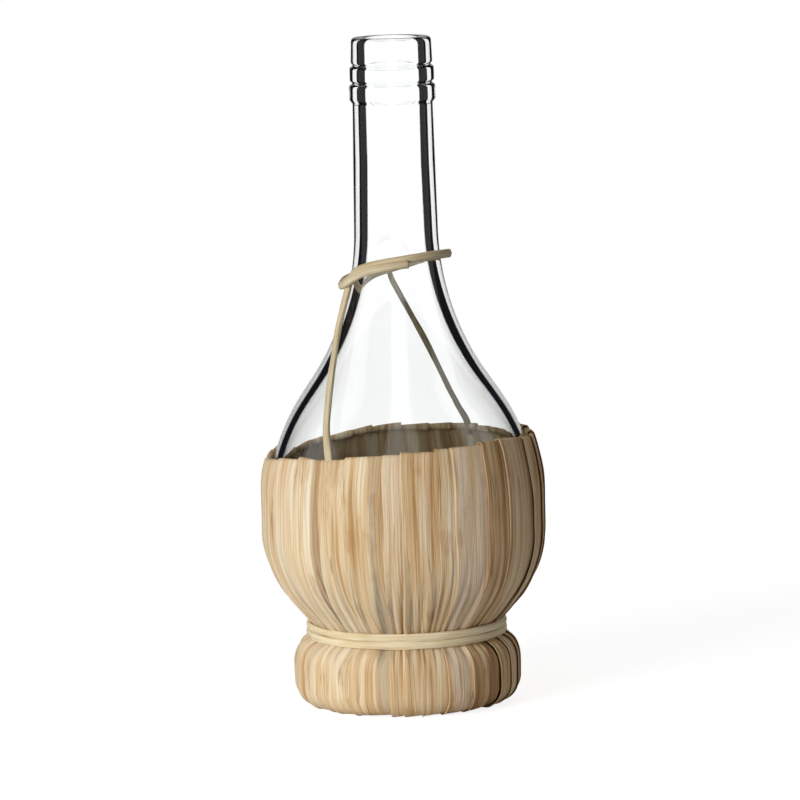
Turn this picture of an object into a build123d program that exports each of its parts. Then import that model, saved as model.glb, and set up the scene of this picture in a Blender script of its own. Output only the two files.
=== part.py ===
from build123d import *
import os
from math import cos, pi, radians, sin, sqrt, tan

# A half-litre straw-covered wine flask: a thin glass bottle with a round bottom,
# bound into a basket of dried husk leaves that also makes its standing foot.
# Millimetres, +Z up. The origin is on the floor, on the bottle's axis.
# The front faces -Y, and azimuths run from the front towards +X.

# Glass: body
belly_radius = 47.2
base_radius = 15.6
base_height = 12.0
hip_height = 48.4
shoulder_height = 88.8
flare_rise = 47.2
neck_length = 94.5
neck_foot_radius = 14.9
body_wall = 2.3
base_wall = 3.5
glass_arc_shares = (0.52, 0.38, 0.58, 0.48)
flare_height = shoulder_height + flare_rise
bottle_height = flare_height + neck_length

# Glass: finish, its three rings and its bore
bore_radius = 9.25
finish_wall = 4.25
throat_wall = 3.9
cork_length = 44.0
cork_arc_share = 0.02
mouth_ring_step = 0.5
mouth_ring_height = 8.8
bead_step = 1.0
bead_height = 4.5
collar_step = 1.3
collar_height = 5.0
ring_groove = 1.6
ring_rounding = 0.9
ring_root = 1.0
neck_top_radius = bore_radius + finish_wall

# Husk leaves
leaf_count = 28
leaf_thickness = 0.45
leaf_clearance = 0.15
leaf_overlap_share = 0.2
seam_jitter_shares = (0.0, 0.12, -0.08, 0.15, -0.12, 0.06, -0.04)
leaf_lap = leaf_thickness + leaf_clearance
leaf_build = leaf_thickness + leaf_lap * (1 + leaf_overlap_share)

# Raffia
raffia_diameter = 2.4
binding_diameter = 2.1
binding_gap = 0.6
raffia_clearance = 0.3
binding_end_azimuth = 108.0
arc_share = 0.45
gap_samples = 600

# Basket: its outermost husk surface
basket_clearance = 0.73
basket_hip_drop = 0.7
basket_shoulder_height = 79.5
rim_lean = 13.5
rim_rise = 11.2
rim_wave = 5.0
rim_wave_shares = (0.5, 0.75, 0.5, -0.55, 0.2, -0.2, -0.75, -0.1)
fold_gap = 0.46
fold_flat = 0.07
fold_length = 3.0
waist_clearance = 1.4
waist_height = 26.3
foot_shoulder_drop = 4.3
foot_bulge = 6.7
underside_width = 17.3
tuck_radius = 8.0
tuck_height = 2.9
floor_flat = 0.3
foot_arc_shares = (0.3, 0.46, 0.61, 0.08, 0.08)
basket_arc_shares = (0.56, 0.6)
basket_radius = belly_radius + leaf_build + basket_clearance
fold_width = 2 * leaf_build + fold_gap
waist_land = 2 * binding_diameter + binding_gap

# Straw ring inside the foot
straw_ring_thickness = 22.2
straw_clearance = 0.3

# Route of the front leg and the loop round the neck, from the rim upwards
neck_cord_route = (
    (-25.6, -37.3, 91.3),
    (-24.9, -31.7, 101.5),
    (-20.9, -3.2, 140.5),
    (-20.3, 0.9, 143.9),
    (-19.6, 0.7, 147.4),
    (-17.3, -9.6, 149.4),
    (-7.3, -17.9, 151.6),
    (5.6, -17.9, 153.3),
    (15.5, -9.6, 154.5),
    (17.7, 3.2, 154.3),
    (11.4, 14.4, 152.2),
    (-0.8, 19.1, 149.2),
    (-12.4, 14.8, 146.6),
    (-18.9, 4.7, 145.6),
)

# Route of the back leg, from under the loop down to the rim
back_cord_route = (
    (-2.9, 19.7, 147.3),
    (18.1, 36.6, 100.6),
    (20.9, 40.2, 90.9),
)


def shifted(points, shift):
    """Points of an open outline moved to its left by shift."""
    moved = []
    for index, point in enumerate(points):
        before = points[max(index - 1, 0)]
        after = points[min(index + 1, len(points) - 1)]
        runs = []
        for start, end in ((before, point), (point, after)):
            length = sqrt((end[0] - start[0]) ** 2 + (end[1] - start[1]) ** 2)
            if length > 0:
                runs.append(((end[0] - start[0]) / length, (end[1] - start[1]) / length))
        first, last = runs[0], runs[-1]
        bisector = (-first[1] - last[1], first[0] + last[0])
        reach = 1 + first[0] * last[0] + first[1] * last[1]
        moved.append((point[0] + shift * bisector[0] / reach, point[1] + shift * bisector[1] / reach))
    return moved


def turns_left(points):
    """One sign for each corner of an outline: 1 where it turns left, -1 right."""
    signs = []
    for before, corner, after in zip(points, points[1:], points[2:]):
        cross = (corner[0] - before[0]) * (after[1] - corner[1])
        cross -= (corner[1] - before[1]) * (after[0] - corner[0])
        signs.append(1 if cross > 0 else -1)
    return signs


def rounded(points, radii, shift=0):
    """Outline with a rounded corner at each inner point, moved left by shift."""
    arcs = [radius - shift * sign for radius, sign in zip(radii, turns_left(points))]
    return FilletPolyline(*shifted(points, shift), radius=arcs)


def bend_radii(points, shares):
    """Arc at each corner of a line, which takes up a share of its shorter run."""
    radii = []
    for before, corner, after, share in zip(points, points[1:], points[2:], shares):
        first = Vector(*corner) - Vector(*before)
        last = Vector(*after) - Vector(*corner)
        turn = radians(first.get_angle(last))
        radii.append(share * min(first.length, last.length) / tan(turn / 2))
    return radii


def glass_outline():
    """Outside of the bottle from the axis at its base up to the mouth."""
    points = [
        (0, base_height),
        (base_radius, base_height),
        (belly_radius, hip_height),
        (belly_radius, shoulder_height),
        (neck_foot_radius, flare_height),
        (neck_top_radius, bottle_height),
    ]
    return points, bend_radii(points, glass_arc_shares)


def bore_outline():
    """Inside of the bottle from the axis at its base up to the mouth."""
    outside, arcs = glass_outline()
    inside = shifted(outside, body_wall)
    arcs = [arc - body_wall * sign for arc, sign in zip(arcs, turns_left(outside))]
    points = [
        (0, base_height + base_wall),
        (inside[1][0], base_height + base_wall),
        inside[2],
        inside[3],
        (neck_foot_radius - throat_wall, inside[4][1]),
        (bore_radius, bottle_height - cork_length),
        (bore_radius, bottle_height),
    ]
    return points, arcs + bend_radii(points[-3:], [cork_arc_share])


def revolved(points, radii):
    """Solid of revolution of an outline that starts and ends at the axis' side."""
    side = rounded(points, radii)
    top = points[-1][1]
    outline = [side, Line(points[-1], (0, top)), Line((0, top), points[0])]
    face = Plane.XZ * make_face(Curve() + outline)
    return revolve(face, Axis.Z)


def finish_ring(radius, low, high):
    """One ring of the finish, rooted in the neck's wall."""
    middle = Pos(0, 0, (low + high) / 2)
    band = fillet(Cylinder(radius, high - low).edges(), ring_rounding)
    core = Cylinder(bore_radius + ring_root, high - low)
    return middle * (band - core)


def glass_bottle():
    """Hollow bottle with its three finish rings."""
    body = revolved(*glass_outline())
    mouth_low = bottle_height - mouth_ring_height
    bead_low = mouth_low - ring_groove - bead_height
    collar_low = bead_low - ring_groove - collar_height
    body += finish_ring(neck_top_radius + mouth_ring_step, mouth_low, bottle_height)
    body += finish_ring(neck_top_radius + bead_step, bead_low, bead_low + bead_height)
    body += finish_ring(neck_top_radius + collar_step, collar_low, collar_low + collar_height)
    hollow = revolved(*bore_outline())
    print("glass_bottle holds to the brim", round(hollow.volume), "cubic millimetres")
    return body - hollow


def rim_top(azimuth):
    """Height of the basket's rim at an azimuth in degrees from the front."""
    step = 360 / len(rim_wave_shares)
    place = (azimuth % 360) / step
    index = int(place)
    blend = (1 - cos(pi * (place - index))) / 2
    low = rim_wave_shares[index % len(rim_wave_shares)]
    high = rim_wave_shares[(index + 1) % len(rim_wave_shares)]
    return basket_shoulder_height + rim_rise + rim_wave * (low + (high - low) * blend)


def waist_radius():
    """Radius of the waist, which is drawn in round the glass's lower cone."""
    rise = (waist_height + waist_land / 2 - base_height) / (hip_height - base_height)
    return base_radius + (belly_radius - base_radius) * rise + leaf_build + waist_clearance


def basket_outline(azimuth):
    """Outermost husk surface from its tuck under the base, up, over the rim and in."""
    lean = tan(radians(rim_lean))
    top = rim_top(azimuth)
    top_radius = basket_radius - (top - basket_shoulder_height) * lean
    fold = fold_width / cos(radians(rim_lean))
    drop = fold_length * cos(radians(rim_lean))
    foot_radius = waist_radius() + foot_bulge
    waist_low = waist_height - waist_land / 2
    points = [
        (tuck_radius, tuck_height),
        (foot_radius - underside_width, -floor_flat),
        (foot_radius, -floor_flat),
        (foot_radius, waist_low - foot_shoulder_drop),
        (waist_radius(), waist_low),
        (waist_radius(), waist_low + waist_land),
        (basket_radius, hip_height - basket_hip_drop),
        (basket_radius, basket_shoulder_height),
        (top_radius, top),
        (top_radius - fold, top),
        (top_radius - fold + drop * lean, top - drop),
    ]
    fold_arc = fold_width / 2 - fold_flat
    arcs = bend_radii(points, foot_arc_shares + basket_arc_shares)
    return points, arcs + [fold_arc, fold_arc]


def leaf_section(azimuth, depth):
    """Cut through one leaf in the plane of an azimuth, at a depth under the surface."""
    points, arcs = basket_outline(azimuth)
    outside = rounded(points, arcs, depth)
    inside = rounded(points, arcs, depth + leaf_thickness)
    ends = [Line(outside @ 0, inside @ 0), Line(outside @ 1, inside @ 1)]
    turn = radians(azimuth)
    plane = Plane(origin=(0, 0, 0), x_dir=(sin(turn), -cos(turn), 0), z_dir=(-cos(turn), -sin(turn), 0))
    return plane * make_face(Curve() + [outside, inside] + ends)


def seam(index):
    """Azimuth of a leaf's free edge."""
    jitter = seam_jitter_shares[index % len(seam_jitter_shares)]
    return (index + jitter) * 360 / leaf_count


def husk_leaf(index):
    """One leaf, whose free edge laps over the leaf before it."""
    start = seam(index)
    pitch = seam(index + 1) - start
    width = pitch * (1 + leaf_overlap_share)
    sections = []
    for share in (0, 1 / 2, 1):
        depth = leaf_lap * share * width / pitch
        sections.append(leaf_section(start + share * width, depth))
    floor_cut = Box(4 * basket_radius, 4 * basket_radius, basket_radius)
    return loft(sections) - Pos(0, 0, -basket_radius / 2) * floor_cut


def straw_ring():
    """Ring of straw that fills the foot, hollowed where the glass sits in it."""
    inside = leaf_build + straw_clearance
    half = straw_ring_thickness / 2
    middle = waist_radius() + foot_bulge - inside - half
    section = Plane.XZ * Pos(middle, half + inside - floor_flat) * Circle(half)
    points, arcs = glass_outline()
    seat = shifted(points, -straw_clearance)
    arcs = [arc + straw_clearance * sign for arc, sign in zip(arcs, turns_left(points))]
    seat[0] = (0, seat[0][1])
    return revolve(section, Axis.Z) - revolved(seat, arcs)


def cord(name, route, diameter):
    """Cord of straight runs and tangent arcs along a route."""
    radii = bend_radii(route, [arc_share] * len(route))
    path = FilletPolyline(*route, radius=radii)
    print(name, "arc radii", [round(radius, 1) for radius in radii])
    return swept(name, path, diameter)


def swept(name, path, diameter):
    """Round tube along a path, with its least gap to itself printed."""
    section = Plane(origin=path @ 0, z_dir=path % 0) * Circle(diameter / 2)
    tube = sweep(section, path=path)
    ideal = pi * diameter ** 2 / 4 * path.length
    print(name, "volume", round(tube.volume, 1), "of", round(ideal, 1))
    print(name, "least gap to itself", round(gap_to_itself(path, diameter), 2))
    return tube


def gap_to_itself(path, diameter):
    """Least clear distance between two stretches of a tube."""
    places = [path @ (index / gap_samples) for index in range(gap_samples + 1)]
    step = path.length / gap_samples
    apart = int(pi * diameter / step) + 1
    least = path.length
    for index, place in enumerate(places):
        for other in places[index + apart:]:
            least = min(least, (other - place).length)
    return least - diameter


def around(azimuth, radius, height):
    """Point at an azimuth in degrees from the front."""
    turn = radians(azimuth)
    return Vector(radius * sin(turn), -radius * cos(turn), height)


def level_run(start, end, radius, height):
    """Two even arcs at one height between two azimuths."""
    middle = (start + end) / 2
    arcs = []
    for first, last in ((start, middle), (middle, end)):
        points = [around(first + (last - first) * share, radius, height) for share in (0, 1 / 2, 1)]
        arcs.append(ThreePointArc(*points))
    return arcs


def waist_binding():
    """Raffia strand in two turns round the waist, with a climb across the back."""
    radius = waist_radius() + raffia_clearance + binding_diameter / 2
    rise = binding_diameter + binding_gap
    low = waist_height - rise / 2
    high = waist_height + rise / 2
    lower = level_run(-binding_end_azimuth, 90, radius, low)
    upper = level_run(-90, binding_end_azimuth, radius, high)
    back = around(180, radius, waist_height)
    climb = ThreePointArc(around(90, radius, low), back, around(-90, radius, high))
    first, last = lower[0], upper[-1]
    lead = Line(first @ 0 - (first % 0) * binding_diameter, first @ 0)
    tail = Line(last @ 1, last @ 1 + (last % 1) * binding_diameter)
    path = Wire([edge for line in (lead, *lower, climb, *upper, tail) for edge in line.edges()])
    return swept("waist_binding", path, binding_diameter)


def write(name, piece):
    """One file for each piece, under its own name."""
    piece.label = name
    export_step(piece, os.path.join("parts", name + ".step"))


os.makedirs("parts", exist_ok=True)
write("glass_bottle", glass_bottle())
write("straw_foot_ring", straw_ring())
for number in range(leaf_count):
    write(f"husk_leaf_{number + 1:02d}", husk_leaf(number))
write("waist_binding", waist_binding())
write("neck_cord", cord("neck_cord", neck_cord_route, raffia_diameter))
write("back_cord", cord("back_cord", back_cord_route, raffia_diameter))
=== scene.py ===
import bpy
import math
import numpy as np
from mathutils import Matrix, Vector, noise


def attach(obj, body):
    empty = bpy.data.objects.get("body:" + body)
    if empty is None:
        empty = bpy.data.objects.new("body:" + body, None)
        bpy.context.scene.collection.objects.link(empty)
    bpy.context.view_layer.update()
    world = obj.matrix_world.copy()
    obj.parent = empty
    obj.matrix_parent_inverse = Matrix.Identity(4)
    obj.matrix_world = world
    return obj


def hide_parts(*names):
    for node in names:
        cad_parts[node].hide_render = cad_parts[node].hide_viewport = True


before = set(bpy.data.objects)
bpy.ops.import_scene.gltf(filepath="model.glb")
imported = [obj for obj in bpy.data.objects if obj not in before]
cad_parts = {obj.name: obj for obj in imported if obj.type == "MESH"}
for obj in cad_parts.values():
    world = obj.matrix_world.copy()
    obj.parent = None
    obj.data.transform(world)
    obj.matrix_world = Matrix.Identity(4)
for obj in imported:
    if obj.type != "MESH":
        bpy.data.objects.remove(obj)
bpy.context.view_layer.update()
print("frame loaded:", len(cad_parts), "nodes")

mm = 0.001


# Socket maths: an expression on values adds its nodes by itself

class Wire:
    def __init__(self, tree, socket=None):
        self.tree = tree
        self.socket = socket

    def node(self, kind, settings=None, inputs=None, out=0):
        made = self.tree.nodes.new("ShaderNode" + kind)
        for key, value in (settings or {}).items():
            if key == "stops":
                self.fillRamp(made.color_ramp, value)
            else:
                setattr(made, key, value)
        for key, value in (inputs or {}).items():
            target = made.inputs[key]
            if isinstance(value, Wire):
                self.tree.links.new(value.socket, target)
            else:
                target.default_value = value
        return Wire(self.tree, made.outputs[out])

    def fillRamp(self, ramp, stops):
        while len(ramp.elements) < len(stops):
            ramp.elements.new(0.5)
        for element, (place, hexCode) in zip(ramp.elements, stops):
            element.position = place
            element.color = colour(hexCode)

    def maths(self, operation, first, second):
        return self.node("Math", {"operation": operation}, {0: first, 1: second})

    def __add__(self, other): return self.maths("ADD", self, other)
    def __radd__(self, other): return self.maths("ADD", other, self)
    def __sub__(self, other): return self.maths("SUBTRACT", self, other)
    def __rsub__(self, other): return self.maths("SUBTRACT", other, self)
    def __mul__(self, other): return self.maths("MULTIPLY", self, other)
    def __rmul__(self, other): return self.maths("MULTIPLY", other, self)
    def __truediv__(self, other): return self.maths("DIVIDE", self, other)
    def __pow__(self, other): return self.maths("POWER", self, other)
    def __gt__(self, other): return self.maths("GREATER_THAN", self, other)

    def clamped(self):
        return self.node("Clamp", None, {0: self, 1: 0.0, 2: 1.0})

    def spread(self, low, high):  # 0 at low, 1 at high, smooth between
        return self.node("MapRange", {"interpolation_type": "SMOOTHSTEP"}, {0: self, 1: low, 2: high})

    def ramp(self, stops):
        return self.node("ValToRGB", {"stops": stops}, {0: self})

    def tint(self, first, second, factor):
        return self.node("Mix", {"data_type": "RGBA"}, {0: factor, 6: first, 7: second}, 2)

    def attribute(self, name):
        return self.node("Attribute", {"attribute_name": name}, None, "Vector")

    def part(self, vector, axis):
        return self.node("SeparateXYZ", None, {0: vector}, axis)

    def joined(self, x, y, z):
        return self.node("CombineXYZ", None, {0: x, 1: y, 2: z})

    def cloud(self, vector, scale, detail=3.0, rough=0.5):
        inputs = {"Vector": vector, "Scale": scale, "Detail": detail, "Roughness": rough}
        return self.node("TexNoise", {"noise_dimensions": "3D"}, inputs)


def newMaterial(name):
    material = bpy.data.materials.new(name)
    material.use_nodes = True
    material.node_tree.nodes.clear()
    return material, Wire(material.node_tree)


def finishMaterial(material, shader):
    output = material.node_tree.nodes.new("ShaderNodeOutputMaterial")
    material.node_tree.links.new(shader.socket, output.inputs["Surface"])
    return material


def colour(hexCode):  # sRGB hex to linear with alpha
    values = [int(hexCode[i:i + 2], 16) / 255 for i in (0, 2, 4)]
    return (*[v / 12.92 if v <= 0.04045 else ((v + 0.055) / 1.055) ** 2.4 for v in values], 1)


def dryShader(start, values, base, fibre, relief):  # rougher where the fibre is pale
    bump = start.node("Bump", None, {
        "Strength": values["bump"], "Distance": values["bumpDepth"], "Height": relief})
    least, more = values["roughness"]
    return start.node("BsdfPrincipled", None, {
        "Base Color": base, "Roughness": least + fibre * more,
        "Specular IOR Level": values["specular"], "Normal": bump})


# Outlines: straight runs with rounded corners, sampled as points

def roundedLine(points, radii, step):
    points = [np.array(point, float) for point in points]
    line = [points[0]]
    for before, corner, after, radius in zip(points, points[1:], points[2:], radii):
        incoming = (corner - before) / np.linalg.norm(corner - before)
        outgoing = (after - corner) / np.linalg.norm(after - corner)
        turn = math.acos(np.clip(incoming @ outgoing, -1, 1))
        reach = radius * math.tan(turn / 2)
        start = corner - incoming * reach
        side = outgoing - incoming * (incoming @ outgoing)
        side /= np.linalg.norm(side)
        centre = start + side * radius
        count = max(3, int(radius * turn / step))
        for index in range(count + 1):
            angle = turn * index / count
            line.append(centre - side * radius * math.cos(angle) + incoming * radius * math.sin(angle))
    line.append(points[-1])
    return np.array(line)


def arcsFor(points, shares):
    radii = []
    for before, corner, after, share in zip(points, points[1:], points[2:], shares):
        first = np.subtract(corner, before)
        last = np.subtract(after, corner)
        lengths = [np.linalg.norm(first), np.linalg.norm(last)]
        turn = math.acos(np.clip(first @ last / lengths[0] / lengths[1], -1, 1))
        radii.append(share * min(lengths) / math.tan(turn / 2))
    return radii


def evenly(line, count):  # the same line with evenly spaced points
    lengths = np.concatenate([[0], np.cumsum(np.linalg.norm(np.diff(line, axis=0), axis=1))])
    places = np.linspace(0, lengths[-1], count)
    return np.stack([np.interp(places, lengths, line[:, axis]) for axis in range(line.shape[1])], axis=1)


def denser(line, step):  # long straight runs get more points
    result = [line[0]]
    for before, after in zip(line, line[1:]):
        count = max(1, int(np.linalg.norm(after - before) / step))
        for index in range(1, count + 1):
            result.append(before + (after - before) * index / count)
    return np.array(result)


# Noise, fading and meshes

def wave(*place):
    return noise.noise(Vector(place))


def smooth(low, high, value):  # 0 at low, 1 at high, also where low is the larger one
    share = min(max((value - low) / (high - low), 0), 1)
    return share * share * (3 - 2 * share)


def ringFaces(rings, sides, closed):  # the quads between rings of points
    faces = []
    for ring in range(rings if closed else rings - 1):
        low, high = ring * sides, (ring + 1) % rings * sides
        for corner in range(sides):
            after = (corner + 1) % sides
            faces.append((low + corner, low + after, high + after, high + corner))
    return faces


def makeMesh(name, points, faces, material, attributes=None):
    mesh = bpy.data.meshes.new(name)
    mesh.from_pydata([tuple(point) for point in points], [], faces)
    mesh.update()
    mesh.polygons.foreach_set("use_smooth", [True] * len(mesh.polygons))
    for key, values in (attributes or {}).items():
        layer = mesh.attributes.new(key, "FLOAT_VECTOR", "POINT")
        layer.data.foreach_set("vector", np.asarray(values, float).ravel())
    mesh.materials.append(material)
    piece = bpy.data.objects.new(name, mesh)
    bpy.context.scene.collection.objects.link(piece)
    return piece


def mount(piece, slot, *nodes):
    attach(piece, "root")
    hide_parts(*nodes)


# Glass bottle

glass = {
    # millimetres; an arc is a radius, a share is the part of the shorter run that a corner takes
    "bellyRadius": 47.2, "baseRadius": 15.6, "baseHeight": 12.0, "hipHeight": 48.4, "shoulderHeight": 88.8,
    "flareHeight": 136.0, "topHeight": 230.5, "neckFootRadius": 14.9, "neckTopRadius": 13.5,
    "wall": 2.8, "baseWall": 3.5, "throatRadius": 10.5, "throatHeight": 135.2, "boreRadius": 9.25,
    "corkLength": 44.0, "mouthBand": 8.8, "bead": 4.5, "collar": 5.0, "groove": 1.6,
    "outerShares": (0.52, 0.38, 0.58, 0.48), "innerShares": (0.58, 0.38, 0.5),
    "finishArcs": (1.0, 0.8, 1.0, 0.4, 1.0, 1.0, 0.35, 0.9, 1.3, 1.3), "throatArcs": (60.0, 94.0),
    "segments": 224, "step": 1.2,
    # look
    "tint": (0.985, 0.995, 0.99, 1), "refraction": 1.56, "waviness": 0.05, "waveDepth": 0.002,
    "waveScale": 16.0, "shadowTint": (0.66, 0.68, 0.67, 1),
}


def glassOutline():
    top, neck, bore, wall = [glass[key] for key in ("topHeight", "neckTopRadius", "boreRadius", "wall")]
    mouthLow = top - glass["mouthBand"]
    beadLow = mouthLow - glass["groove"] - glass["bead"]
    collarLow = beadLow - glass["groove"] - glass["collar"]
    body = [
        (0, glass["baseHeight"]), (glass["baseRadius"], glass["baseHeight"]),
        (glass["bellyRadius"], glass["hipHeight"]), (glass["bellyRadius"], glass["shoulderHeight"]),
        (glass["neckFootRadius"], glass["flareHeight"]),
    ]
    finish = [  # three rings, from the lowest up
        (neck + 0.25, collarLow - 1.2), (neck + 1.3, collarLow + 0.2),
        (neck + 1.3, collarLow + glass["collar"]), (neck - 0.2, collarLow + 5.8),
        (neck + 1.0, beadLow), (neck + 1.0, beadLow + glass["bead"]), (neck - 0.3, beadLow + 5.4),
        (neck + 0.5, mouthLow), (neck + 0.2, top), (bore, top),
    ]
    throat = [(bore, top - glass["corkLength"]), (glass["throatRadius"], glass["throatHeight"])]
    inside = [
        (glass["bellyRadius"] - wall, glass["shoulderHeight"] - 1.0),
        (glass["bellyRadius"] - wall, glass["hipHeight"] + 1.0),
        (glass["baseRadius"] - wall / 3, glass["baseHeight"] + glass["baseWall"]),
        (0, glass["baseHeight"] + glass["baseWall"]),
    ]
    points = body + finish + throat + inside
    radii = arcsFor(points[:6], glass["outerShares"]) + [*glass["finishArcs"], *glass["throatArcs"]]
    return roundedLine(points, radii + arcsFor(points[-5:], glass["innerShares"]), glass["step"])


def glassMaterial():
    material, start = newMaterial("clearGlass")
    waves = start.cloud(start.node("TexCoord", None, None, 3), glass["waveScale"], 1.0)
    bump = start.node("Bump", None, {
        "Strength": glass["waviness"], "Distance": glass["waveDepth"], "Height": waves})
    shader = start.node("BsdfPrincipled", None, {
        "Base Color": glass["tint"], "Roughness": 0.0, "IOR": glass["refraction"],
        "Transmission Weight": 1.0, "Normal": bump})
    clear = start.node("BsdfTransparent", None, {"Color": glass["shadowTint"]})
    shadow = start.node("LightPath", None, None, "Is Shadow Ray")  # light passes to the husk inside
    return finishMaterial(material, start.node("MixShader", None, {0: shadow, 1: shader, 2: clear}))


def makeGlass():
    outline = denser(glassOutline(), glass["step"]) * mm
    segments = glass["segments"]
    points = [(0, 0, outline[0][1])]
    for radius, height in outline[1:-1]:
        for index in range(segments):
            angle = 2 * math.pi * index / segments
            points.append((radius * math.cos(angle), radius * math.sin(angle), height))
    points.append((0, 0, outline[-1][1]))
    rings = len(outline) - 2
    faces = []
    for index in range(segments):
        after = (index + 1) % segments
        faces.append((0, 1 + after, 1 + index))
        for ring in range(rings - 1):
            low, high = 1 + ring * segments, 1 + (ring + 1) * segments
            faces.append((low + index, low + after, high + after, high + index))
        last = 1 + (rings - 1) * segments
        faces.append((last + index, last + after, len(points) - 1))
    piece = makeMesh("blownGlass", points, faces, glassMaterial())
    mount(piece, "glass", "glass_bottle")
    print("glass:", len(faces), "faces")


# Husk leaves

husk = {
    # the leaves, millimetres and shares of a leaf
    "count": 28, "thickness": 0.45, "edgeThickness": 0.12, "edgeWidth": 0.1, "clearance": 0.15,
    "overlap": 0.45, "lap": 1.2, "jitter": (0.0, 0.12, -0.08, 0.15, -0.12, 0.06, -0.04),
    # the outline from the rim down to the tuck, millimetres and degrees
    "rimWave": 5.0, "rimShares": (0.5, 0.75, 0.5, 0.6, 0.45, -0.05, -0.75, -0.1), "rimStep": 0.4,
    "basketRadius": 49.1, "hipHeight": 47.7, "shoulderHeight": 79.5, "rimHeight": 90.7, "lean": 13.5,
    "foldWidth": 2.8, "foldLength": 3.0, "foldInset": 0.07, "waistRadius": 32.58, "waistHeight": 26.3,
    "waistLand": 4.8, "footRadius": 39.28, "footShoulder": 19.6, "underside": 21.98,
    "tuckRadius": 8.0, "tuckHeight": 2.9, "arcShares": (0.3, 0.46, 0.61, 0.2, 0.2, 0.56, 0.6),
    # the grid of a leaf and its random numbers
    "columns": 38, "rows": 150, "step": 0.6, "seed": 4, "seedStep": 17.3,
    # where each fade starts and ends, in millimetres, and across the lap in leaves
    "rimFade": (9, 5), "underFade": (12, 26), "beltFade": (24, 29), "lapFade": (1.0, 1.15),
    "gatherAbove": (62, 31), "gatherBelow": (16, 23), "gatherFoot": 0.8, "press": 0.8, "pressReach": 3.0,
    # creases, ribs and the curled free edge
    "foldCount": (2, 5), "foldDepth": (0.08, 1.0), "foldSpread": (0.35, 1.25), "foldPower": 0.65,
    "wander": 0.35, "wanderLength": 34, "calmFold": 0.9, "calmUnder": 0.85,
    "swell": 0.22, "swellSize": (4.2, 48), "rib": 0.07, "ribSize": (1.1, 50),
    "curl": 0.45, "curlBase": 0.15, "curlLength": 11, "curlWidth": 0.09, "drift": 1.3, "driftLength": 26,
    "edges": {  # free edges moved by these degrees on the belly and on the foot
        25: (4, -4), 26: (0, -6.5), 27: (5, 3.5), 0: (-1, -2.5), 1: (0, -7),
        2: (-3.5, -4.5), 3: (-4.5, -6), 4: (-3, 4)},
    # look
    "hues": {  # paleness, partly painted light (the leaves on the lit left are set paler), blush, and how strong the painted shadow on the seam after the leaf is
        0: (0.0, 0.1, 0.3), 1: (0.02, -0.2, 0.8), 2: (0.13, 0.35, 0.7), 3: (-0.11, -0.1, 0.5),
        24: (0.08, -0.2, 1.0), 25: (0.08, -0.3, 0.5), 26: (0.06, -0.1, 0.6), 27: (0.02, 0.15, 1.0)},
    # the same three for the other leaves, which get painted light: paler toward the lit side
    "litSide": -65, "litSidePaleness": 0.05, "paleBase": 0.01, "paleSpread": 0.03,
    "blushRange": (-0.3, 0.2), "seamShadowRange": (0.2, 0.8),
    "tones": ((0.2, "9A7248"), (0.36, "C39C6C"), (0.47, "DBB98C"), (0.58, "E8CFA6"), (0.75, "F4E7CC")),
    # width, length and seed of the streaks, then their detail and roughness where they differ
    "broad": (3.6, 70.0, 7.3), "narrow": (1.1, 45.0, 3.1), "fibre": (0.42, 22.0, 5.9),
    "blots": (6.0, 22.0, 2.3, 3.0, 0.6), "veins": (2.2, 90.0, 9.1, 0.0),
    # painted light: the gathered parts are set paler, against the shade of their folds
    "weights": (0.65, 0.55, 0.3), "gatherPaintedLight": 0.09, "blush": 0.7, "blushTone": "D6A684",
    "stain": 0.4, "stainTone": "B98A57", "stainEdge": (0.56, 0.7),
    "vein": 0.5, "veinTone": "8F6C44", "veinEdge": (0.006, 0.02), "veinGaps": (0.35, 0.6),
    # painted shade: the fold creases are darkened toward a dark brown, more where the leaf is gathered
    "shade": 0.6, "shadeTone": "5E4125", "creaseShade": (0.12, 0.6), "creaseShadePower": 1.5,
    # painted shadow along each seam: the band of a leaf under the next leaf's free edge is darkened toward
    # the same dark brown, with breaks
    "seamShadowEdge": (0.86, 1.0), "seamShadowBreaks": (0.4, 0.6), "seamShadowNoise": (0.4, 0.6), "relief": (0.6, 0.6, 0.3),
    "bump": 0.6, "bumpDepth": 0.0005, "roughness": (0.5, 0.3), "specular": 0.35,
}


def rimTop(azimuth):
    shares = husk["rimShares"]
    place = (azimuth % 360) / (360 / len(shares))
    index = int(place)
    blend = (1 - math.cos(math.pi * (place - index))) / 2
    low, high = shares[index % len(shares)], shares[(index + 1) % len(shares)]
    return husk["rimHeight"] + husk["rimWave"] * (low + (high - low) * blend)


def basketLine(azimuth, count, step):  # from the tuck under the foot to the fold at the rim
    lean = math.tan(math.radians(husk["lean"]))
    top = rimTop(azimuth) + step
    topRadius = husk["basketRadius"] - (top - husk["shoulderHeight"]) * lean
    fold = husk["foldWidth"] / math.cos(math.radians(husk["lean"]))
    drop = husk["foldLength"] * math.cos(math.radians(husk["lean"]))
    low = husk["waistHeight"] - husk["waistLand"] / 2
    points = [
        (husk["tuckRadius"], husk["tuckHeight"]), (husk["underside"], 0), (husk["footRadius"], 0),
        (husk["footRadius"], husk["footShoulder"]), (husk["waistRadius"], low),
        (husk["waistRadius"], low + husk["waistLand"]), (husk["basketRadius"], husk["hipHeight"]),
        (husk["basketRadius"], husk["shoulderHeight"]), (topRadius, top), (topRadius - fold, top),
        (topRadius - fold + drop * lean, top - drop),
    ]
    arc = husk["foldWidth"] / 2 - husk["foldInset"]
    arcs = arcsFor(points[:9], husk["arcShares"]) + [arc, arc]
    return evenly(roundedLine(points, arcs, husk["step"]), count)


def seam(index):
    jitter = husk["jitter"]
    return (index + jitter[index % len(jitter)]) * 360 / husk["count"]


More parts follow.
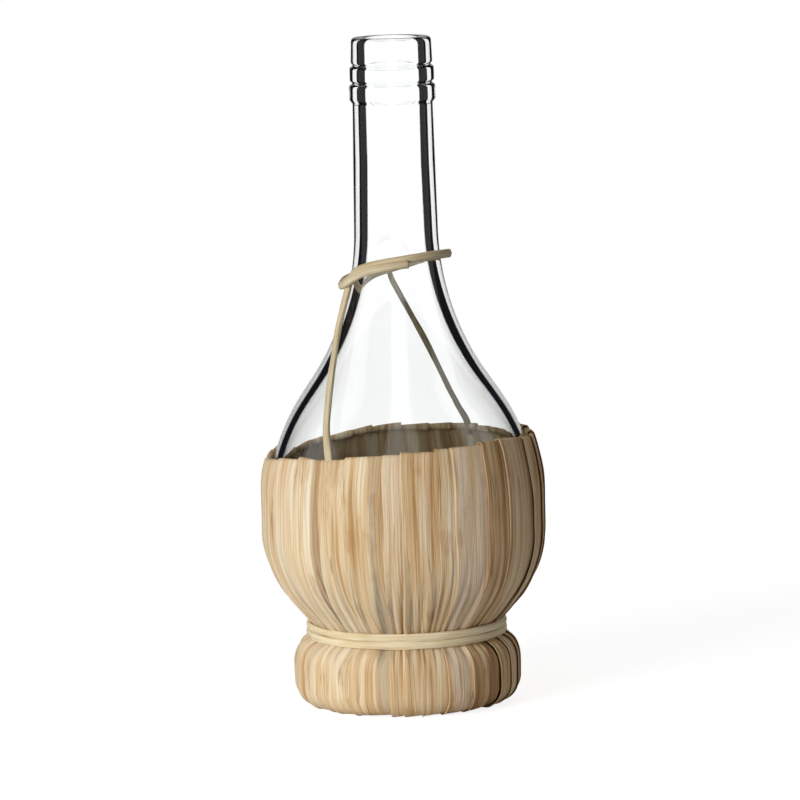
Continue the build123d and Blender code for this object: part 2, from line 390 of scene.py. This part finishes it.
def leafGrid(index):
    start = seam(index)
    pitch = seam(index + 1) - start
    width = pitch * (1 + husk["overlap"])
    beltShift, footShift = husk["edges"].get(index, (0, 0))
    columns, rows = husk["columns"], husk["rows"]
    random = np.random.default_rng(husk["seed"] + index)
    shift = husk["seedStep"] * index + husk["seed"]
    folds = int(random.integers(*husk["foldCount"]))
    step = random.uniform(-1, 1) * husk["rimStep"]
    deep = random.uniform(*husk["foldSpread"], folds + 2)
    shallow, full = husk["foldDepth"]
    rimFar, rimNear = husk["rimFade"]
    swellWide, swellLong = husk["swellSize"]
    ribWide, ribLong = husk["ribSize"]
    lap, thin = husk["thickness"] + husk["clearance"], husk["edgeThickness"]
    # the last number of each wave only sets it apart from the others
    shape = (columns, rows, 3)
    outer, inner, grain, form = np.zeros(shape), np.zeros(shape), np.zeros(shape), np.zeros(shape)
    for column in range(columns):
        across = column / (columns - 1)
        azimuth = start + across * width
        share = across * width / pitch
        line = basketLine(azimuth, rows, step)
        along = np.concatenate([[0], np.cumsum(np.linalg.norm(np.diff(line, axis=0), axis=1))])
        run = np.gradient(line, axis=0)
        run /= np.linalg.norm(run, axis=1)[:, None]
        tucked = smooth(*husk["lapFade"], share)
        free = smooth(husk["curlWidth"], 0.0, across)
        thick = thin + (husk["thickness"] - thin) * smooth(0, husk["edgeWidth"], across)
        for row in range(rows):
            reach = along[row]
            radius, height = line[row]
            size = math.radians(width) * radius
            onFold = smooth(along[-1] - rimFar, along[-1] - rimNear, reach)
            under = 1 - smooth(*husk["underFade"], reach)
            above = smooth(*husk["beltFade"], height)
            gather = above * smooth(*husk["gatherAbove"], height)
            gather += (1 - above) * husk["gatherFoot"] * smooth(*husk["gatherBelow"], height)
            gather *= 1 - onFold
            fromBelt = (height - husk["waistHeight"]) / husk["pressReach"]
            pressed = 1 - husk["press"] * math.exp(-fromBelt ** 2) * (1 - onFold)
            quiet = (1 - husk["calmFold"] * onFold) * (1 - husk["calmUnder"] * under) * (1 - tucked) * pressed
            place = across * folds + husk["wander"] * wave(reach / husk["wanderLength"], shift, 5.5) + 0.5
            ridge = abs(math.sin(math.pi * place)) ** husk["foldPower"]
            fold = deep[int(place) % len(deep)] * (shallow + (full - shallow) * gather)
            swell = wave(across * size / swellWide, reach / swellLong, shift)
            rib = wave(across * size / ribWide, reach / ribLong, shift + 21)
            lift = (fold * ridge + husk["swell"] * swell + husk["rib"] * rib) * quiet
            curl = max(0, wave(reach / husk["curlLength"], shift, 3.7) + husk["curlBase"])
            lift += husk["curl"] * free * curl * (1 - onFold) * (1 - under) * pressed
            drift = husk["drift"] * wave(reach / husk["driftLength"], shift, 8.1) * (1 - onFold)
            drift += footShift + (beltShift - footShift) * max(above, onFold)
            depth = lap * min(share, husk["lap"]) - lift
            angle = math.radians(azimuth + drift * (1 - across) * (1 - under))
            for layer, more in ((outer, 0), (inner, thick)):
                r = radius - run[row][1] * (depth + more)
                z = height + run[row][0] * (depth + more)
                layer[column, row] = (r * math.sin(angle), -r * math.cos(angle), max(z, 0))
            grain[column, row] = (across * size, reach, index)
            form[column, row] = (share, ridge, gather)
    return outer * mm, inner * mm, grain, form


def gridFaces(columns, rows):
    total = columns * rows
    faces = []
    for column in range(columns - 1):
        for row in range(rows - 1):
            a = column * rows + row
            b = a + rows
            faces.append((a, b, b + 1, a + 1))
            faces.append((total + a, total + a + 1, total + b + 1, total + b))
    for row in range(rows - 1):
        faces.append((row, row + 1, total + row + 1, total + row))
        last = (columns - 1) * rows + row
        faces.append((last, total + last, total + last + 1, last + 1))
    for column in range(columns - 1):
        a, b = column * rows, (column + 1) * rows
        faces.append((a, total + a, total + b, b))
        a, b = a + rows - 1, b + rows - 1
        faces.append((a, b, total + b, total + a))
    return faces


def huskMaterial():
    material, start = newMaterial("dryHusk")
    grain, form, hue = start.attribute("grain"), start.attribute("form"), start.attribute("hue")
    across, along, leaf = [start.part(grain, axis) for axis in range(3)]
    share, ridge, gather = [start.part(form, axis) for axis in range(3)]
    # hue: random paleness plus painted light toward the lit side, blush, and the strength of the painted seam
    # shadow
    paleAndLitSide, blush, seamShadowStrength = [start.part(hue, axis) for axis in range(3)]

    def streaks(wide, long, seed, detail=2.0, rough=0.55):  # long soft lines, sizes in millimetres
        return start.cloud(start.joined(across / wide, along / long, leaf * seed), 1.0, detail, rough)

    broad, narrow, fibre = [streaks(*husk[key]) for key in ("broad", "narrow", "fibre")]
    first, second, third = husk["weights"]
    tone = (broad - 0.5) * first + (narrow - 0.5) * second + (fibre - 0.5) * third + 0.5
    # painted light: the gathered parts are paler, to lift the shade of their folds
    base = (tone + paleAndLitSide + gather * husk["gatherPaintedLight"]).ramp(husk["tones"])
    blushed = (blush + (broad - 0.5)).clamped() * husk["blush"]
    base = start.tint(base, colour(husk["blushTone"]), blushed)
    stain = streaks(*husk["blots"]).spread(*husk["stainEdge"]) * husk["stain"]
    base = start.tint(base, colour(husk["stainTone"]), stain)
    ripple = start.node("Math", {"operation": "ABSOLUTE"}, {0: streaks(*husk["veins"]) - 0.5})
    vein = 1 - ripple.spread(*husk["veinEdge"])
    base = start.tint(base, colour(husk["veinTone"]), vein * husk["vein"] * fibre.spread(*husk["veinGaps"]))
    # painted shade in the fold creases
    flat, gathered = husk["creaseShade"]
    creaseShade = (1 - ridge) ** husk["creaseShadePower"] * (flat + gather * gathered)
    # painted shadow on the band of the leaf that the next leaf's free edge covers, broken up by noise
    steady, broken = husk["seamShadowBreaks"]
    seamShadow = share.spread(*husk["seamShadowEdge"]) * seamShadowStrength * (steady + narrow.spread(*husk["seamShadowNoise"]) * broken)
    # painted shade: the crease shade and the seam shadow darken the base colour
    shade = (creaseShade * husk["shade"] + seamShadow * husk["shade"]).clamped()
    base = start.tint(base, colour(husk["shadeTone"]), shade)
    narrowHigh, fibreHigh, veinLow = husk["relief"]
    relief = narrow * narrowHigh + fibre * fibreHigh - vein * veinLow
    return finishMaterial(material, dryShader(start, husk, base, fibre, relief))


def makeHusk():
    material = huskMaterial()
    faces = gridFaces(husk["columns"], husk["rows"])
    random = np.random.default_rng(husk["seed"])
    for index in range(husk["count"]):
        outer, inner, grain, form = leafGrid(index)
        points = np.concatenate([outer.reshape(-1, 3), inner.reshape(-1, 3)])
        # painted light: leaves toward the key lamp's side are paler, on top of a random tone
        side = math.cos(math.radians(seam(index) - husk["litSide"]))
        paleAndLitSide = random.normal(0, husk["paleSpread"]) + husk["litSidePaleness"] * side + husk["paleBase"]
        hue = (paleAndLitSide, random.uniform(*husk["blushRange"]), random.uniform(*husk["seamShadowRange"]))
        values = {"hue": np.tile(husk["hues"].get(index, hue), (len(points), 1))}
        for key, layer in (("grain", grain), ("form", form)):
            values[key] = np.concatenate([layer.reshape(-1, 3)] * 2)
        piece = makeMesh(f"leaf{index + 1:02d}", points, faces, material, values)
        mount(piece, "husk", f"husk_leaf_{index + 1:02d}")
    print("husk:", husk["count"], "leaves of", len(faces), "faces")


# Raffia cords

raffia = {
    # mesh, grooves and twist, lengths in millimetres
    "sides": 28, "step": 0.7, "fewestRings": 12, "grooves": 6, "groove": 0.045, "grooveWander": 2.5,
    "grooveLength": 22, "twistLength": 45, "swell": 0.14, "swellLength": 9, "rough": 0.1, "roughLength": 12,
    "roughShift": 7, "roughCycles": 2.5, "curveSteps": 24,
    # width, thickness, seed and twist of each cord
    "neck": (2.9, 2.2, 2.6, 25), "back": (2.8, 1.8, 4.1, 40), "binding": (2.7, 1.8, 1.3, 14),
    "bindingDiameter": 2.1, "bindingGap": 0.6, "bindingClearance": 0.3,
    "bindingTurns": (-108, 468.1), "bindingStep": 3, "bindingClimb": (90, 270),
    # look
    "tones": ((0.25, "A88A5C"), (0.42, "DDC699"), (0.6, "F6EACB")), "weights": (0.7, 0.3),
    "fibre": (2.2, 0.06, 4.7), "patch": (0.05, 3.3),
    "bump": 0.5, "bumpDepth": 0.0003, "roughness": (0.45, 0.25), "specular": 0.4,
    # painted shade: the neck cord and most of all the back cord are darkened toward a dark brown, as if in
    # shade
    "paintedShadeTone": "6B5A42", "paintedShade": {"neck": 0.22, "back": 0.6, "binding": 0.0},
    # the points that pull the two free cords, millimetres
    "neckRoute": (
        (-24.5, -38.2, 86.8), (-24.9, -37.5, 92.9), (-25.6, -32.0, 99.0), (-24.8, -26.9, 107.5),
        (-23.7, -20.2, 115.2), (-22.2, -14.3, 123.4), (-20.7, -9.1, 131.7), (-18.4, -7.0, 140.0),
        (-16.8, -7.4, 145.2), (-16.0, -7.2, 148.3), (-14.6, -9.7, 151.0), (-9.2, -14.7, 153.3),
        (-3.0, -16.9, 154.6), (3.8, -16.6, 155.5), (10.7, -13.2, 156.1), (15.2, -7.8, 156.1),
        (18.3, -1.0, 155.6), (17.0, 5.5, 155.0), (12.9, 11.4, 153.5), (5.3, 16.9, 151.5),
        (-3.1, 18.5, 149.5), (-10.8, 14.7, 148.4), (-16.3, 8.2, 147.1), (-19.0, 2.7, 146.3),
        (-19.6, -2.8, 145.3), (-17.3, -9.6, 147.4), (-14.9, -12.8, 149.5), (-10.6, -16.3, 151.6),
        (-5.8, -18.3, 152.8), (-0.3, -19.0, 153.6), (3.8, -17.7, 153.9)),
    "backRoute": (
        (-2.8, 16.6, 149.0), (-3.0, 16.5, 151.1), (-3.5, 18.4, 151.9), (-3.8, 20.6, 150.5),
        (-3.6, 20.5, 147.0), (0.6, 20.0, 140.9), (4.8, 21.3, 134.2), (10.8, 23.6, 124.4),
        (15.7, 28.0, 113.9), (19.8, 33.3, 104.1), (22.7, 34.9, 99.0), (24.9, 36.0, 94.9),
        (25.4, 36.7, 91.9), (25.7, 36.9, 89.1)),
}


def routeLine(name, route):  # the smooth line that the route's points pull
    curve = bpy.data.curves.new(name, "CURVE")
    curve.dimensions = "3D"
    curve.resolution_u = raffia["curveSteps"]
    spline = curve.splines.new("NURBS")
    spline.points.add(len(route) - 1)
    for point, place in zip(spline.points, route):
        point.co = (*[value * mm for value in place], 1)
    spline.order_u = 3
    spline.use_endpoint_u = True
    holder = bpy.data.objects.new(name, curve)
    mesh = bpy.data.meshes.new_from_object(holder)
    line = np.array([vertex.co[:] for vertex in mesh.vertices])
    bpy.data.objects.remove(holder)
    bpy.data.meshes.remove(mesh)
    return line / mm


def raffiaMaterial():
    material, start = newMaterial("raffia")
    grain = start.attribute("grain")
    across, along, cord = [start.part(grain, axis) for axis in range(3)]
    wide, long, seed = raffia["fibre"]
    fibre = start.cloud(start.joined(across * wide, along * long, cord * seed), 1.0, 4.0, 0.6)
    long, seed = raffia["patch"]
    patch = start.cloud(start.joined(along * long, cord * seed, 0.0), 1.0, 2.0)
    first, second = raffia["weights"]
    base = (fibre * first + patch * second).ramp(raffia["tones"])
    # painted shade: each cord's tone attribute darkens it toward the dark brown
    base = start.tint(base, colour(raffia["paintedShadeTone"]), start.part(start.attribute("tone"), 0))
    return finishMaterial(material, dryShader(start, raffia, base, fibre, fibre))


def strand(line, wide, thick, seed, twist, axisSide):  # a flat grooved ribbon along the line
    length = np.sum(np.linalg.norm(np.diff(line, axis=0), axis=1))
    line = evenly(line, max(raffia["fewestRings"], int(length / raffia["step"])))
    run = np.gradient(line, axis=0)
    run /= np.linalg.norm(run, axis=1)[:, None]
    side = np.cross(run[0], (0, 0, 1) if abs(run[0][2]) < 0.9 else (1, 0, 0))
    points, grain = [], []
    sides, cycles, reach = raffia["sides"], raffia["roughCycles"], 0
    for index, place in enumerate(line):
        if index:
            reach += np.linalg.norm(place - line[index - 1])
        if axisSide:  # the flat side faces the bottle
            side = np.array((place[0], place[1], 0.0))
        side = side - run[index] * (side @ run[index])
        side /= np.linalg.norm(side)
        up = np.cross(run[index], side)
        turn = math.radians(twist * wave(reach / raffia["twistLength"], seed, 0.5))
        width = 1 + raffia["swell"] * wave(reach / raffia["swellLength"], seed, 1.5)
        wander = raffia["grooveWander"] * wave(reach / raffia["grooveLength"], seed, 4.5)
        onward = reach / raffia["roughLength"] + seed * raffia["roughShift"]
        for corner in range(sides):
            angle = 2 * math.pi * corner / sides
            groove = math.cos(raffia["grooves"] * angle + wander)
            rough = wave(cycles * math.cos(angle), cycles * math.sin(angle), onward)
            size = width + raffia["groove"] * groove + raffia["rough"] * rough
            a, b = thick / 2 * size * math.cos(angle), wide / 2 * size * math.sin(angle)
            a, b = a * math.cos(turn) - b * math.sin(turn), a * math.sin(turn) + b * math.cos(turn)
            points.append(place + side * a + up * b)
            grain.append((corner / sides * math.pi * wide, reach, seed))
    faces = ringFaces(len(line), sides, False)
    faces.append(tuple(range(sides))[::-1])
    faces.append(tuple((len(line) - 1) * sides + corner for corner in range(sides)))
    return np.array(points) * mm, faces, grain


def bindingLine():
    diameter = raffia["bindingDiameter"]
    radius = husk["waistRadius"] + raffia["bindingClearance"] + diameter / 2
    rise = diameter + raffia["bindingGap"]
    line = []
    for degree in np.arange(*raffia["bindingTurns"], raffia["bindingStep"]):
        climb = smooth(*raffia["bindingClimb"], degree)
        height = husk["waistHeight"] + rise * (climb - 0.5)
        angle = math.radians(degree)
        line.append((radius * math.sin(angle), -radius * math.cos(angle), height))
    return np.array(line)


def makeCords():
    material = raffiaMaterial()
    jobs = (  # name, line, whether its flat side faces the bottle, node
        ("neck", routeLine("neckRoute", raffia["neckRoute"]), True, "neck_cord"),
        ("back", routeLine("backRoute", raffia["backRoute"]), False, "back_cord"),
        ("binding", bindingLine(), True, "waist_binding"),
    )
    for name, line, axisSide, node in jobs:
        points, faces, grain = strand(line, *raffia[name], axisSide)
        # each cord's painted shade
        tone = [(raffia["paintedShade"][name], 0, 0)] * len(points)
        piece = makeMesh(name + "Raffia", points, faces, material, {"grain": grain, "tone": tone})
        mount(piece, "raffia", node)
    print("raffia:", len(jobs), "cords")


# Straw ring in the foot

strawRing = {
    # millimetres; the seat is where the round bottom of the bottle presses the ring in
    "thickness": 22.2, "inside": 1.47, "lowering": 0.3, "seatGap": 0.5, "sides": 40, "segments": 160,
    "girth": 70, "strands": 34, "slant": 3, "core": 0.9, "strandDepth": 0.6,
    "rough": 0.3, "roughCycles": (9, 3),
    # look
    "tones": ((0.3, "8A6A3C"), (0.5, "C2A468"), (0.68, "DDC890")), "fibre": (1.6, 0.04),
    "bump": 0.7, "bumpDepth": 0.0006, "roughness": (0.5, 0.3), "specular": 0.5,
}


def strawMaterial():
    material, start = newMaterial("dryStraw")
    grain = start.attribute("grain")
    across, along, bundle = [start.part(grain, axis) for axis in range(3)]
    wide, long = strawRing["fibre"]
    fibre = start.cloud(start.joined(across * wide, along * long, bundle), 1.0, 4.0, 0.6)
    base = fibre.ramp(strawRing["tones"])
    return finishMaterial(material, dryShader(start, strawRing, base, fibre, fibre))


def makeStraw():
    half = strawRing["thickness"] / 2
    middle = husk["footRadius"] - strawRing["inside"] - half
    height = half + strawRing["inside"] - strawRing["lowering"]
    slope = (glass["bellyRadius"] - glass["baseRadius"]) / (glass["hipHeight"] - glass["baseHeight"])
    points, grain = [], []
    sides, segments = strawRing["sides"], strawRing["segments"]
    wide, fine = strawRing["roughCycles"]
    for segment in range(segments):
        around = 2 * math.pi * segment / segments
        for corner in range(sides):
            angle = 2 * math.pi * corner / sides
            bundle = abs(math.sin(strawRing["strands"] / 2 * angle + around * strawRing["slant"]))
            rough = wave(math.cos(around) * wide, math.sin(around) * wide, angle * fine)
            size = half - strawRing["core"] + strawRing["strandDepth"] * bundle + strawRing["rough"] * rough
            r = middle + size * math.cos(angle)
            z = height + size * math.sin(angle)
            seat = glass["baseRadius"] + (z - glass["baseHeight"]) * slope + strawRing["seatGap"]
            if z > glass["baseHeight"]:  # the bottle's round bottom rests in the ring
                r = max(r, seat)
            points.append((r * math.sin(around) * mm, -r * math.cos(around) * mm, z * mm))
            grain.append((corner / sides * strawRing["girth"], around * middle, 1.0))
    faces = ringFaces(segments, sides, True)
    piece = makeMesh("strawBundle", points, faces, strawMaterial(), {"grain": grain})
    mount(piece, "straw", "straw_foot_ring")
    print("straw ring:", len(faces), "faces")


# Floor, light and camera

studio = {
    "distance": 1.7, "cameraHeight": 0.331, "aim": (-0.0002, 0.0, 0.105), "roll": 1.55, "lens": 223.4,
    "sensor": 36, "clipEnd": 20, "floorFade": (0.3, 0.6), "floorCorners": 64, "plainRadius": 0.024,
    "paper": 0.8, "shadow": 0.4, "glow": 0.84, "bright": 1.15, "dark": (0.008, 0.008, 0.01, 1),
    # after so many passes through glass all is white, after so many bounces no card is seen
    "cards": 4.0, "cardEdge": (0.1, 0.5), "mirror": 0.35, "deepRays": 3.5, "cardRays": 4.5, "world": 0.17,
    "lampAim": (0, 0, 0.1),
    "lamps": {  # place, size and energy
        "keyLamp": ((-1.12, -1.25, 0.5), 0.8, 25.0), "fillLamp": ((1.2, -1.2, 0.6), 1.2, 1.0),
        "backLamp": ((0.4, 1.6, 0.7), 1.0, 9.0)},
}


def cardPattern(start, direction):  # white cards on four sides, dark between them
    x, y = start.part(direction, 0), start.part(direction, 1)
    around = start.node("Math", {"operation": "ARCTAN2"}, {0: x, 1: y})
    cards = start.node("Math", {"operation": "COSINE"}, {0: around * studio["cards"]})
    return cards.spread(*studio["cardEdge"])


def rayMasks(start, direction):  # which rays see the studio, and where it is white for them
    def rays(out):
        return start.node("LightPath", None, None, out)

    through = rays("Is Transmission Ray")
    mirror = rays("Is Glossy Ray") * (1 - through)
    deep = rays("Transmission Depth") > studio["deepRays"]
    cards = cardPattern(start, direction) * (1 - (rays("Ray Depth") > studio["cardRays"]))
    special = (rays("Is Camera Ray") + through + mirror).clamped()
    seen = rays("Is Camera Ray") / studio["bright"]
    white = (seen + through * deep + (through * (1 - deep) + mirror * studio["mirror"]) * cards).clamped()
    return special, white


def makeWorld():
    world = bpy.data.worlds.new("studio")
    bpy.context.scene.world = world
    world.use_nodes = True
    world.node_tree.nodes.clear()
    start = Wire(world.node_tree)
    special, white = rayMasks(start, start.node("TexCoord"))
    light = start.node("Background", None, {0: (1, 1, 1, 1), 1: studio["world"]})
    bright = start.node("Background", None, {0: (1, 1, 1, 1), 1: studio["bright"]})
    dark = start.node("Background", None, {0: studio["dark"], 1: 1.0})
    shown = start.node("MixShader", None, {0: white, 1: dark, 2: bright})
    both = start.node("MixShader", None, {0: special, 1: light, 2: shown})
    output = world.node_tree.nodes.new("ShaderNodeOutputWorld")
    world.node_tree.links.new(both.socket, output.inputs["Surface"])
    print("world done")


def makeFloor():
    material, start = newMaterial("paperFloor")
    place = start.node("NewGeometry")
    reach = start.node("VectorMath", {"operation": "LENGTH"}, {0: place}, 1)
    special, white = rayMasks(start, place)
    special = special * (reach > studio["plainRadius"])  # plain paper under the foot
    paper = start.node("BsdfDiffuse", None, {"Color": (studio["paper"],) * 3 + (1,)})
    shade = start.node("BsdfDiffuse", None, {"Color": (studio["shadow"],) * 3 + (1,)})
    glow = start.node("Emission", None, {"Color": (1, 1, 1, 1), "Strength": studio["glow"]})
    lit = start.node("AddShader", None, {0: shade, 1: glow})
    dark = start.node("Emission", None, {"Color": studio["dark"], "Strength": 1.0})
    bright = (white * studio["bright"]).clamped()
    seen = start.node("MixShader", None, {0: bright, 1: dark, 2: lit})
    both = start.node("MixShader", None, {0: special, 1: paper, 2: seen})
    clear = start.node("BsdfTransparent")
    faded = start.node("MixShader", None, {0: reach.spread(*studio["floorFade"]), 1: both, 2: clear})
    finishMaterial(material, faded)
    size, corners = studio["floorFade"][1], studio["floorCorners"]
    angles = [corner / (corners / 2) * math.pi for corner in range(corners)]
    ring = [(size * math.cos(angle), size * math.sin(angle), 0) for angle in angles]
    floor = makeMesh("floor", ring, [tuple(range(corners))], material)
    print("floor done")


def makeLamp(name, place, size, energy):
    lamp = bpy.data.lights.new(name, "AREA")
    lamp.size = size
    lamp.energy = energy
    holder = bpy.data.objects.new(name, lamp)
    holder.location = place
    aim = Vector(studio["lampAim"]) - Vector(place)
    holder.rotation_euler = aim.to_track_quat("-Z", "Y").to_euler()
    holder.visible_glossy = False
    holder.visible_transmission = False
    bpy.context.scene.collection.objects.link(holder)


def makeCamera():
    camera = bpy.data.cameras.new("camera")
    camera.lens = studio["lens"]
    camera.sensor_width = studio["sensor"]
    camera.clip_end = studio["clipEnd"]
    holder = bpy.data.objects.new("camera", camera)
    place = Vector((studio["aim"][0], -studio["distance"], studio["cameraHeight"]))
    turn = (Vector(studio["aim"]) - place).to_track_quat("-Z", "Y")
    holder.location = place
    holder.rotation_euler = turn.to_euler()
    holder.rotation_euler.rotate_axis("Z", -math.radians(studio["roll"]))
    bpy.context.scene.collection.objects.link(holder)
    bpy.context.scene.camera = holder
    print("camera done")


makeWorld()
makeFloor()
for name, values in studio["lamps"].items():
    makeLamp(name, *values)
print("lamps:", len(studio["lamps"]))
makeCamera()
makeGlass()
makeHusk()
makeCords()
makeStraw()

bpy.context.scene.view_settings.view_transform = "Standard"
